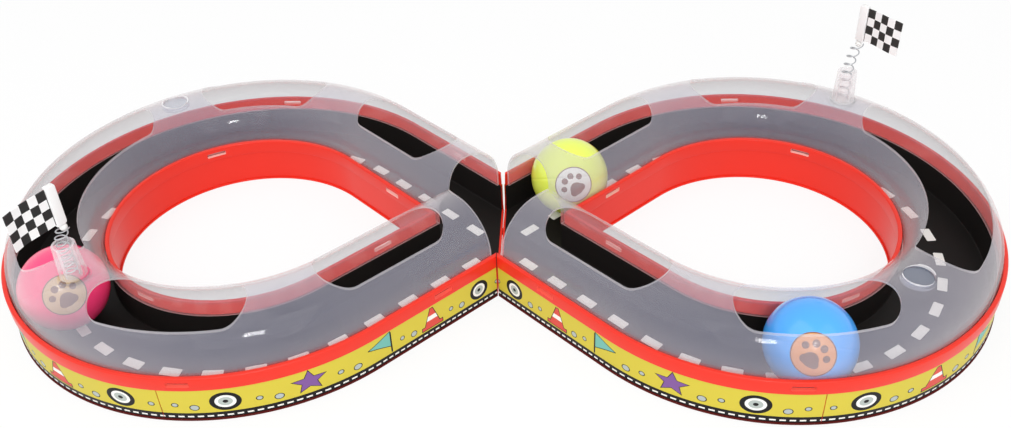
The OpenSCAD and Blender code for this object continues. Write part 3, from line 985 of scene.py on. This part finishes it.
# Plugs. A round white plastic plug with a seat for the wire round its middle sits in the spring's
# top curl, and the flag sways on it. Its top is flattened under the stick.
plug_r = 1.7 * mm
seat_share = 0.9
flat_from = 0.95 * plug_r
flat_z = 0.955 * plug_r
white_plastic = moulded("white_moulded_plastic", (0.82, 0.82, 0.8), 0.35, mottle=0.02, grain=0.03)
select_none()
bpy.ops.mesh.primitive_uv_sphere_add(segments=32, ring_count=20, radius=plug_r)
plug = bpy.context.object
edit(plug)
pick(plug, "verts", lambda vertex: abs(vertex.co.z) < doubles)
resize((seat_share, seat_share, 1))
pick(plug, "verts", lambda vertex: vertex.co.z > flat_from)
resize((1, 1, 0), (0, 0, flat_z))
leave()
stand_pair(plug, pivots, "flag_ball_plug", white_plastic, "flag_plug", "flag_plug")

# Flag sticks. A thin stick of the same white plastic, with rounded ends, stands on each plug and runs
# up inside the hem of the flag.
pole_r = 1.1 * mm
pole_round = 0.4 * pole_r
hem_foot = 1.6 * mm
flag_h = 18 * mm
hem_over = 1 * mm
pole_foot = plug_r + 0.3 * mm
pole_top = hem_foot + flag_h + 2 * hem_over
pole_facets = 32
pole = rod(pole_r, pole_foot, pole_top, pole_facets)
edit(pole)
pick(pole, "edges", lambda edge: abs(run(edge).z) < doubles)
bpy.ops.mesh.bevel(offset=pole_round, segments=4)
leave()
stand_pair(pole, pivots, "flag_stick", white_plastic, "flag", "flag_pole")

# Flags. A white sheet printed with black checks, four down and five along, waves and droops a
# little. Its hem is a flat sleeve with rounded corners, slid over the stick and sewn along a dark line.
flag_l = 22 * mm
panel_t = 0.5 * mm
hem_back = 2 * mm
hem_front = 2.6 * mm
hem_t = 2.6 * mm
hem_round = 0.6 * mm
hem_corner = 1.3 * mm
hem_bore = pole_r + 0.05 * mm
hem_middle_z = (pole_top + hem_foot) / 2
line_w = 0.45 * mm
checks_along = 5
checks_down = 4
check_steps = 4
panel_columns = check_steps * checks_along + 1
panel_start = hem_front - 0.1 * mm
check_w = (flag_l - panel_start - line_w) / checks_along
wave_h = 0.55 * mm
wave_sweep = 2.2 * math.pi
droop = 1.2 * mm
flag_turns = {"left": -122, "right": -50}
white_cloth = moulded("white_flag_cloth", (0.86, 0.86, 0.86), 0.6, mottle=0.02, grain=0.1)
black_check = moulded("black_flag_ink", (0.014, 0.014, 0.014), 0.5, mottle=0.1, grain=0.1)


def fly_share(x):
    """How far along the sheet a place is, from its start in the hem to its loose end."""
    return (x - panel_start) / (flag_l - panel_start)


select_none()
bpy.ops.mesh.primitive_grid_add(x_subdivisions=panel_columns, y_subdivisions=check_steps * checks_down,
                                size=1, rotation=(math.pi / 2, 0, 0))
panel = settle()
for vertex in panel.data.vertices:
    column = round((vertex.co.x + 0.5) * panel_columns)
    vertex.co.x = panel_start + (line_w + (column - 1) * check_w / check_steps if column else 0)
    vertex.co.z = hem_foot + hem_over + flag_h * (vertex.co.z + 0.5)
    share = fly_share(vertex.co.x)
    vertex.co.y = wave_h * share * math.sin(wave_sweep * share + (vertex.co.z - hem_foot) / flag_h)
    vertex.co.z -= droop * share ** 2
panel.data.materials.append(white_cloth)
panel.data.materials.append(black_check)
for face in panel.data.polygons:
    beyond = face.center.x - panel_start - line_w
    column = math.floor(beyond / check_w)
    fall = pole_top - hem_over - face.center.z - droop * fly_share(face.center.x) ** 2
    row = math.floor(fall / (flag_h / checks_down))
    face.material_index = 1 if beyond < 0 or (column + row) % 2 == 0 else 0
apply_modifier(panel, "sheet", "SOLIDIFY", thickness=panel_t, offset=0)
hem = block((hem_back + hem_front, hem_t, flag_h + 2 * hem_over),
            ((hem_front - hem_back) / 2, 0, hem_middle_z))
hem.data.materials.append(white_cloth)
edit(hem)
pick(hem, "edges", lambda edge: edge.verts[0].co.x < 0 and abs(run(edge).y) > hem_t / 2)
bpy.ops.mesh.bevel(offset=hem_corner, segments=4)
pick(hem, "edges", lambda edge: abs(edge.verts[0].co.y + edge.verts[1].co.y) > hem_t - doubles)
bpy.ops.mesh.bevel(offset=hem_round, segments=3)
leave()
bore = rod(hem_bore, hem_middle_z - flag_h, hem_middle_z + flag_h, pole_facets)
bore.data.materials.append(white_cloth)
carve(hem, bore)
flag = join("flag", [hem, panel])
stand_pair(flag, pivots, "chequered_flag", None, "flag", "flag_panel", flag_turns)

# Balls. Three hollow balls, each moulded in two halves of glossy coloured plastic that are welded
# along a fine line. A paw badge is printed on each. They roll under the covers.
ball_r = (blue_high.z - blue_low.z) / 2
weld_half_w = 0.3 * mm
weld_depth = 0.12 * mm
weld_share = 1 - weld_depth / ball_r
weld_turn = 78
badge_r = 9.3
badge_edge = 0.5
badge_ink = (0.2, 0.09, 0.045)


def ball_badge(finish, ball, facing, turn, ground):
    """Prints a paw on a round ground where a ball faces, turned in its own plane. Its numbers are
    millimetres from the badge's middle."""
    plain = finish.node_tree.nodes["Principled BSDF"].inputs["Base Color"].links[0].from_socket
    sheet = Print(finish, plain)
    level = Vector((0, 0, 1)).cross(facing).normalized()
    upright = facing.cross(level)
    right = level * math.cos(turn) + upright * math.sin(turn)
    above = upright * math.cos(turn) - level * math.sin(turn)
    where = add_node(sheet.tree, "TexCoord", {}).outputs["Object"]
    inner = sheet.vector("SUBTRACT", where, ball)[0]
    across, along, out = (sheet.vector("DOT_PRODUCT", inner, axis)["Value"]
                          for axis in (right / mm, above / mm, facing))
    place = add_node(sheet.tree, "CombineXYZ", {0: across, 1: along}).outputs[0]
    front = sheet.sum("GREATER_THAN", out, 0)
    for centre, radius, colour in (
            ((0, 0), badge_r, badge_ink), ((0, 0), badge_r - badge_edge, ground),
            ((0, -2.2), 3.3, badge_ink), ((-2.3, -3.2), 1.9, badge_ink), ((2.3, -3.2), 1.9, badge_ink),
            ((-5, 1.6), 1.5, badge_ink), ((-1.9, 4.6), 1.6, badge_ink), ((1.9, 4.6), 1.6, badge_ink),
            ((5, 1.6), 1.5, badge_ink)):
        sheet.paint(sheet.sum("MULTIPLY", front, sheet.disc(place, centre, radius)), colour)
    sheet.put_on()


for name, colour, facing, turn, ground in (
        ("pink", (0.95, 0.05, 0.19), (0.446, -0.762, 0.431), 0.3, (0.62, 0.42, 0.22)),
        ("yellow", (0.78, 0.9, 0.11), (0.108, -0.948, 0.373), 0.7, (0.75, 0.75, 0.7)),
        ("blue", (0.06, 0.38, 0.95), (-0.165, -0.855, 0.49), -0.5, (0.7, 0.3, 0.1))):
    low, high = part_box(f"{name}_ball")
    centre = (low + high) / 2
    select_none()
    bpy.ops.mesh.primitive_uv_sphere_add(segments=96, ring_count=48, radius=ball_r)
    ball = name_piece(bpy.context.object, f"{name}_ball_shell")
    edit(ball)
    pick(ball, "edges", lambda edge: max(abs(vertex.co.z) for vertex in edge.verts) < doubles)
    bpy.ops.mesh.bevel(offset=weld_half_w, segments=2, profile=1)
    pick(ball, "verts", lambda vertex: abs(vertex.co.z) < doubles)
    resize((weld_share, weld_share, 1))
    leave()
    ball.rotation_euler = Vector(facing).to_track_quat("Z", "Y").to_euler()
    ball.rotation_euler.rotate_axis("X", math.radians(weld_turn))
    ball.location = centre
    settle()
    tidy_faces(ball, 50)
    gloss = moulded(f"{name}_gloss_plastic", colour, 0.2, mottle=0.02, grain=0.01, coat=0.3)
    ball_badge(gloss, centre, Vector(facing).normalized(), turn, ground)
    dress(ball, gloss, f"{name}_ball", f"{name}_ball", f"{name}_ball")

# The camera stands above and in front of the crossing, as the photograph shows the track. Its place,
# its three angles and its focal length in pixels were fitted to the photograph's frame.
camera_place = (31.37 * mm, -404.15 * mm, 333.79 * mm)
camera_yaw = -0.0470
camera_pitch = 0.6179
camera_roll = -0.0296
focal_px = 1024.98
photo_w = 1011
photo_h = 428
centre_px = (523.57, 177.24)
sensor_w = 36
forward = Vector((math.sin(camera_yaw) * math.cos(camera_pitch),
                  math.cos(camera_yaw) * math.cos(camera_pitch), -math.sin(camera_pitch)))
level = Vector((math.cos(camera_yaw), -math.sin(camera_yaw), 0))
above = level.cross(forward)
right = level * math.cos(camera_roll) + above * math.sin(camera_roll)
up = above * math.cos(camera_roll) - level * math.sin(camera_roll)
bpy.ops.object.camera_add(location=camera_place)
camera = bpy.context.object
turn = Matrix((right, up, -forward)).transposed().to_4x4()
camera.matrix_world = Matrix.Translation(camera_place) @ turn
camera.data.sensor_width = sensor_w
camera.data.lens = focal_px / photo_w * sensor_w
camera.data.shift_x = (photo_w / 2 - centre_px[0]) / photo_w
camera.data.shift_y = (centre_px[1] - photo_h / 2) / photo_w
camera.data.clip_start = 0.01
bpy.context.scene.camera = camera

# The studio. The floor is a wide sheet of white paper that keeps a soft shadow. Four soft lamps and
# an even white room light the track, and both show white to the eye, in gloss and through plastic.
floor_drop = 0.3 * mm
paper_glow = 0.86
plain_white = (1, 1, 1, 1)
select_none()
bpy.ops.mesh.primitive_plane_add(size=6, location=(0, 0, -floor_drop))
floor = name_piece(settle(), "studio_floor")


def seen_white(tree):
    """A value that is one for rays from the camera, in mirrors and through clear plastic."""
    path = add_node(tree, "LightPath", {}).outputs
    seen = path["Is Camera Ray"]
    for ray in ("Is Glossy Ray", "Is Transmission Ray"):
        seen = add_node(tree, "Math", {0: seen, 1: path[ray]}, operation="MAXIMUM").outputs[0]
    return seen


paper = bpy.data.materials.new("floor_paper")
paper.use_nodes = True
tree = paper.node_tree
matt = tree.nodes["Principled BSDF"]
fill(tree, matt, {"Base Color": (0.9, 0.9, 0.9, 1), "Roughness": 0.9})
glow = add_node(tree, "Emission", {"Color": plain_white})
share = add_node(tree, "Math", {0: seen_white(tree), 1: paper_glow}, operation="MULTIPLY")
blend = add_node(tree, "MixShader", {0: share.outputs[0], 1: matt.outputs[0], 2: glow.outputs[0]})
fill(tree, tree.nodes["Material Output"], {"Surface": blend.outputs[0]})
floor.data.materials.append(paper)

world = bpy.data.worlds.new("studio")
bpy.context.scene.world = world
world.use_nodes = True
tree = world.node_tree
room = tree.nodes["Background"]
fill(tree, room, {"Color": plain_white, "Strength": 0.7})
backdrop = add_node(tree, "Background", {"Color": plain_white})
choice = add_node(tree, "MixShader", {0: seen_white(tree), 1: room.outputs[0], 2: backdrop.outputs[0]})
fill(tree, tree.nodes["World Output"], {"Surface": choice.outputs[0]})


def lamp(name, place, size, watts):
    """A soft square lamp that points at the crossing."""
    bpy.ops.object.light_add(type="AREA", location=place)
    light = bpy.context.object
    light.name = name
    light.data.size = size
    light.data.energy = watts
    light.rotation_euler = (-Vector(place)).to_track_quat("-Z", "Y").to_euler()


lamp("key_lamp", (-0.5, -0.35, 0.9), 1.1, 3.5)
lamp("fill_lamp", (0.7, -0.6, 0.8), 1.1, 2)
lamp("front_lamp", (0.1, -0.9, 0.75), 1, 3)
lamp("spark_lamp", (0.08, -0.85, 0.62), 0.14, 1.7)
bpy.context.scene.view_settings.view_transform = "Standard"
